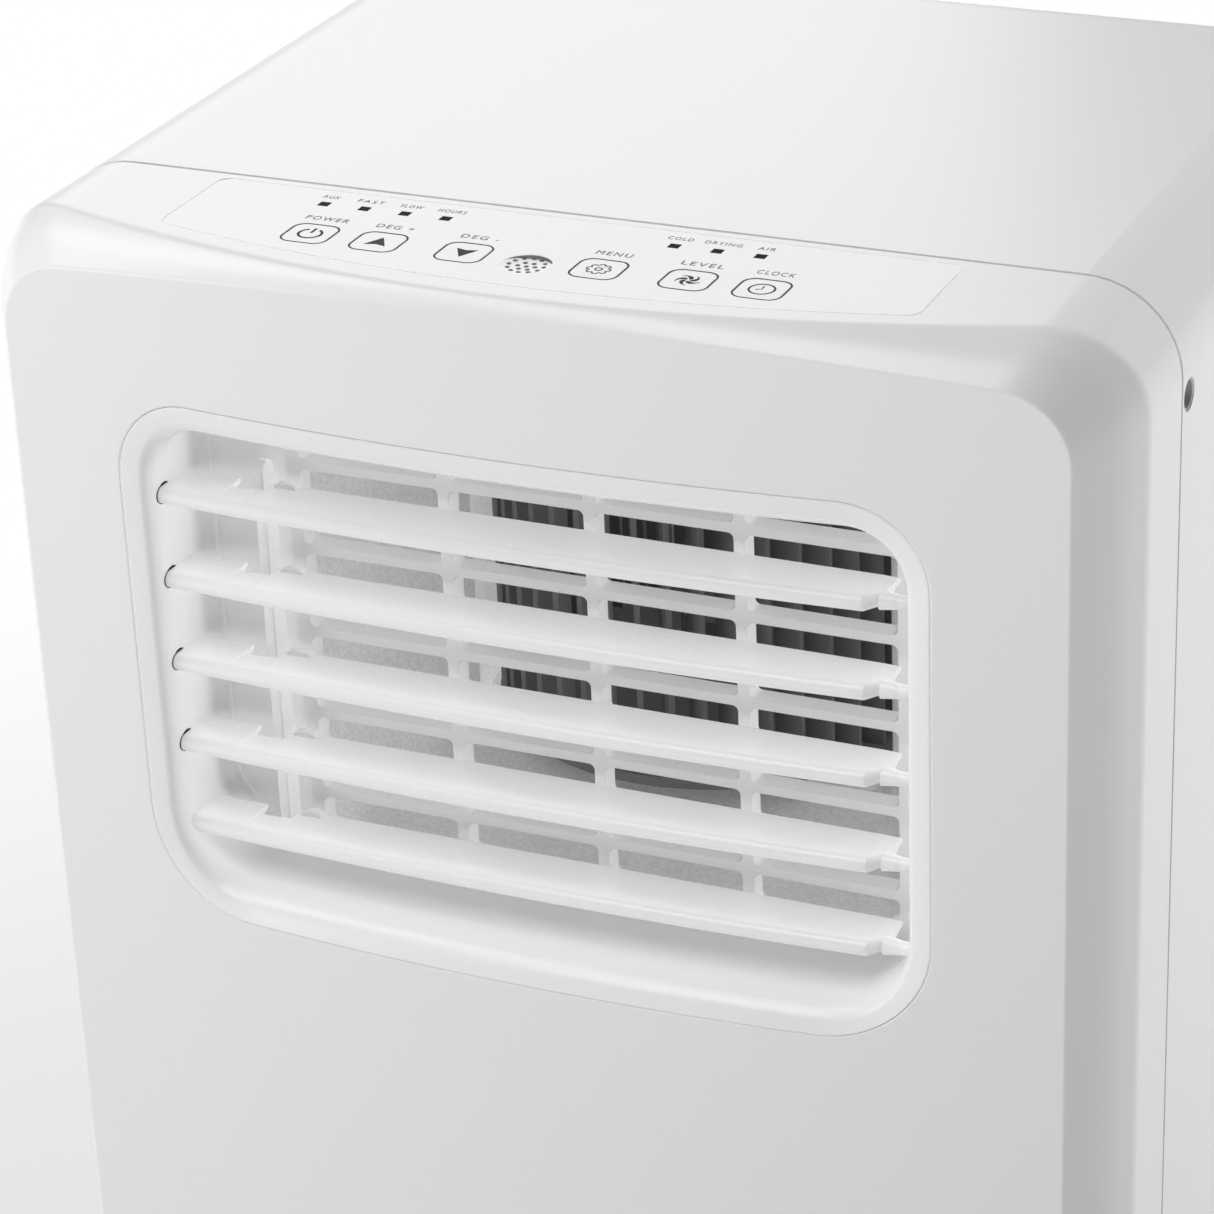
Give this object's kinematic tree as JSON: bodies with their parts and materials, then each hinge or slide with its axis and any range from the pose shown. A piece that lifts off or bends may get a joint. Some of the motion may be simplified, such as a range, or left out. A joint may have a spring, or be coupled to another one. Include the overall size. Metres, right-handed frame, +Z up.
{
  "type": "portable air conditioner",
  "caption": "White upright portable air conditioner on casters, with a top control panel, bowed front cover and a recessed louvred outlet; the refrigeration parts are inside.",
  "frame": {"origin": "centre of the footprint on the floor, under the casters", "axes": "+Z up, -Y towards the air outlet at the front, +X to the right of somebody facing the outlet"},
  "size_m": [0.33, 0.28, 0.68],
  "materials": {
    "casing_white": "satin moulded",
    "panel_gloss": "gloss film",
    "outlet_white": "satin moulded",
    "trim_white": "fine texture",
    "foam_grey": "bead foam",
    "wheel_dark": "moulded",
    "led_window": "gloss window",
    "board": "solder mask",
    "coil_fins": "fins",
    "inner_plastic": "moulded",
    "motor_steel": "zinc plated",
    "compressor_black": "satin black",
    "pipe_copper": "drawn copper",
    "capacitor_can": "drawn can",
    "rubber_black": "moulded",
    "screw_steel": "zinc",
    "filter_mesh": "woven mesh",
    "caster_grey": "moulded",
    "caster_tyre": "moulded"
  },
  "bodies": {
    "housing": {"front_cover": "casing_white", "rear_casing": "casing_white", "casing_screws": "screw_steel", "side_screw_seats": "inner_plastic", "base_pan": "trim_white", "outlet_frame": "outlet_white", "outlet_grille": "outlet_white", "control_overlay": "panel_gloss", "indicator_leds": "led_window", "signal_receiver": "trim_white", "control_board": "board", "blower_scroll": "foam_grey", "blower_motor": "motor_steel", "evaporator_coil": "coil_fins", "condenser_coil": "coil_fins", "drip_tray": "inner_plastic", "drain_spouts": "trim_white", "compressor": "compressor_black", "compressor_mounts": "rubber_black", "accumulator": "compressor_black", "refrigerant_pipes": "pipe_copper", "condenser_shroud": "inner_plastic", "condenser_fan_motor": "motor_steel", "exhaust_collar": "trim_white", "electrical_box": "inner_plastic", "electrical_box_lid": "inner_plastic", "run_capacitor": "capacitor_can", "cord_gland": "rubber_black", "level_switch_stem": "inner_plastic", "lower_grille": "trim_white", "grip_left": "trim_white", "grip_right": "trim_white"},
    "louvre_1": {"louvre_1": "outlet_white"},
    "louvre_2": {"louvre_2": "outlet_white"},
    "louvre_3": {"louvre_3": "outlet_white"},
    "louvre_4": {"louvre_4": "outlet_white"},
    "louvre_5": {"louvre_5": "outlet_white"},
    "louvre_link_bar": {"louvre_link_bar": "outlet_white"},
    "blower_wheel": {"blower_wheel": "wheel_dark"},
    "condenser_fan": {"condenser_fan": "wheel_dark"},
    "key_power": {"key_power": "panel_gloss"},
    "key_temp_up": {"key_temp_up": "panel_gloss"},
    "key_temp_down": {"key_temp_down": "panel_gloss"},
    "key_mode": {"key_mode": "panel_gloss"},
    "key_speed": {"key_speed": "panel_gloss"},
    "key_timer": {"key_timer": "panel_gloss"},
    "filter_panel": {"intake_grille": "trim_white", "air_filter": "filter_mesh"},
    "upper_drain_cap": {"upper_drain_cap": "trim_white"},
    "lower_drain_cap": {"lower_drain_cap": "trim_white"},
    "level_float": {"level_switch_float": "inner_plastic"},
    "caster_fork_1": {"caster_fork_1": "caster_grey"},
    "caster_wheel_1": {"caster_wheel_1": "caster_tyre"},
    "caster_fork_2": {"caster_fork_2": "caster_grey"},
    "caster_wheel_2": {"caster_wheel_2": "caster_tyre"},
    "caster_fork_3": {"caster_fork_3": "caster_grey"},
    "caster_wheel_3": {"caster_wheel_3": "caster_tyre"},
    "caster_fork_4": {"caster_fork_4": "caster_grey"},
    "caster_wheel_4": {"caster_wheel_4": "caster_tyre"}
  },
  "joints": [
    {"name": "louvre_1_tilt", "type": "hinge", "parent": "housing", "child": "louvre_1", "pos_m": [0, -0.1215, 0.6033], "axis": [1, 0, 0], "range_deg": [-30, 45]},
    {"name": "louvre_2_tilt", "type": "hinge", "parent": "housing", "child": "louvre_2", "pos_m": [0, -0.1215, 0.5777], "axis": [1, 0, 0], "range_deg": [-30, 45]},
    {"name": "louvre_3_tilt", "type": "hinge", "parent": "housing", "child": "louvre_3", "pos_m": [0, -0.1215, 0.5521], "axis": [1, 0, 0], "range_deg": [-30, 45]},
    {"name": "louvre_4_tilt", "type": "hinge", "parent": "housing", "child": "louvre_4", "pos_m": [0, -0.1215, 0.5265], "axis": [1, 0, 0], "range_deg": [-30, 45]},
    {"name": "louvre_5_tilt", "type": "hinge", "parent": "housing", "child": "louvre_5", "pos_m": [0, -0.1215, 0.5009], "axis": [1, 0, 0], "range_deg": [-30, 45]},
    {"name": "link_bar_swing", "type": "hinge", "parent": "louvre_1", "child": "louvre_link_bar", "pos_m": [-0.0839, -0.112, 0.6033], "axis": [1, 0, 0], "range_deg": [-45, 30]},
    {"name": "blower_spin", "type": "hinge", "parent": "housing", "child": "blower_wheel", "pos_m": [0.008, -0.01, 0.568], "axis": [0, 0, 1], "continuous": true},
    {"name": "condenser_fan_spin", "type": "hinge", "parent": "housing", "child": "condenser_fan", "pos_m": [0, 0.104, 0.322], "axis": [0, 1, 0], "continuous": true},
    {"name": "key_power_press", "type": "slide", "parent": "housing", "child": "key_power", "axis": [0, 0, -1], "range_m": [0, 0.0005], "stiffness_N_per_m": 2000},
    {"name": "key_temp_up_press", "type": "slide", "parent": "housing", "child": "key_temp_up", "axis": [0, 0, -1], "range_m": [0, 0.0005], "stiffness_N_per_m": 2000},
    {"name": "key_temp_down_press", "type": "slide", "parent": "housing", "child": "key_temp_down", "axis": [0, 0, -1], "range_m": [0, 0.0005], "stiffness_N_per_m": 2000},
    {"name": "key_mode_press", "type": "slide", "parent": "housing", "child": "key_mode", "axis": [0, 0, -1], "range_m": [0, 0.0005], "stiffness_N_per_m": 2000},
    {"name": "key_speed_press", "type": "slide", "parent": "housing", "child": "key_speed", "axis": [0, 0, -1], "range_m": [0, 0.0005], "stiffness_N_per_m": 2000},
    {"name": "key_timer_press", "type": "slide", "parent": "housing", "child": "key_timer", "axis": [0, 0, -1], "range_m": [0, 0.0005], "stiffness_N_per_m": 2000},
    {"name": "filter_panel_slide", "type": "slide", "parent": "housing", "child": "filter_panel", "axis": [0, 1, 0], "range_m": [0, 0.06]},
    {"name": "upper_drain_cap_pull", "type": "slide", "parent": "housing", "child": "upper_drain_cap", "axis": [0, 1, 0], "range_m": [0, 0.02]},
    {"name": "lower_drain_cap_pull", "type": "slide", "parent": "housing", "child": "lower_drain_cap", "axis": [0, 1, 0], "range_m": [0, 0.02]},
    {"name": "level_float_rise", "type": "slide", "parent": "housing", "child": "level_float", "axis": [0, 0, 1], "range_m": [0, 0.012]},
    {"name": "caster_1_swivel", "type": "hinge", "parent": "housing", "child": "caster_fork_1", "pos_m": [-0.124, -0.092, 0.043], "axis": [0, 0, 1], "continuous": true},
    {"name": "caster_1_roll", "type": "hinge", "parent": "caster_fork_1", "child": "caster_wheel_1", "pos_m": [-0.124, -0.083, 0.017], "axis": [1, 0, 0], "continuous": true},
    {"name": "caster_2_swivel", "type": "hinge", "parent": "housing", "child": "caster_fork_2", "pos_m": [0.124, -0.092, 0.043], "axis": [0, 0, 1], "continuous": true},
    {"name": "caster_2_roll", "type": "hinge", "parent": "caster_fork_2", "child": "caster_wheel_2", "pos_m": [0.124, -0.083, 0.017], "axis": [1, 0, 0], "continuous": true},
    {"name": "caster_3_swivel", "type": "hinge", "parent": "housing", "child": "caster_fork_3", "pos_m": [-0.124, 0.1, 0.043], "axis": [0, 0, 1], "continuous": true},
    {"name": "caster_3_roll", "type": "hinge", "parent": "caster_fork_3", "child": "caster_wheel_3", "pos_m": [-0.124, 0.109, 0.017], "axis": [1, 0, 0], "continuous": true},
    {"name": "caster_4_swivel", "type": "hinge", "parent": "housing", "child": "caster_fork_4", "pos_m": [0.124, 0.1, 0.043], "axis": [0, 0, 1], "continuous": true},
    {"name": "caster_4_roll", "type": "hinge", "parent": "caster_fork_4", "child": "caster_wheel_4", "pos_m": [0.124, 0.109, 0.017], "axis": [1, 0, 0], "continuous": true}
  ],
  "couplings": [
    {"joint": "louvre_2_tilt", "follows": "louvre_1_tilt", "ratio": 1},
    {"joint": "louvre_3_tilt", "follows": "louvre_1_tilt", "ratio": 1},
    {"joint": "louvre_4_tilt", "follows": "louvre_1_tilt", "ratio": 1},
    {"joint": "louvre_5_tilt", "follows": "louvre_1_tilt", "ratio": 1},
    {"joint": "link_bar_swing", "follows": "louvre_1_tilt", "ratio": -1}
  ]
}
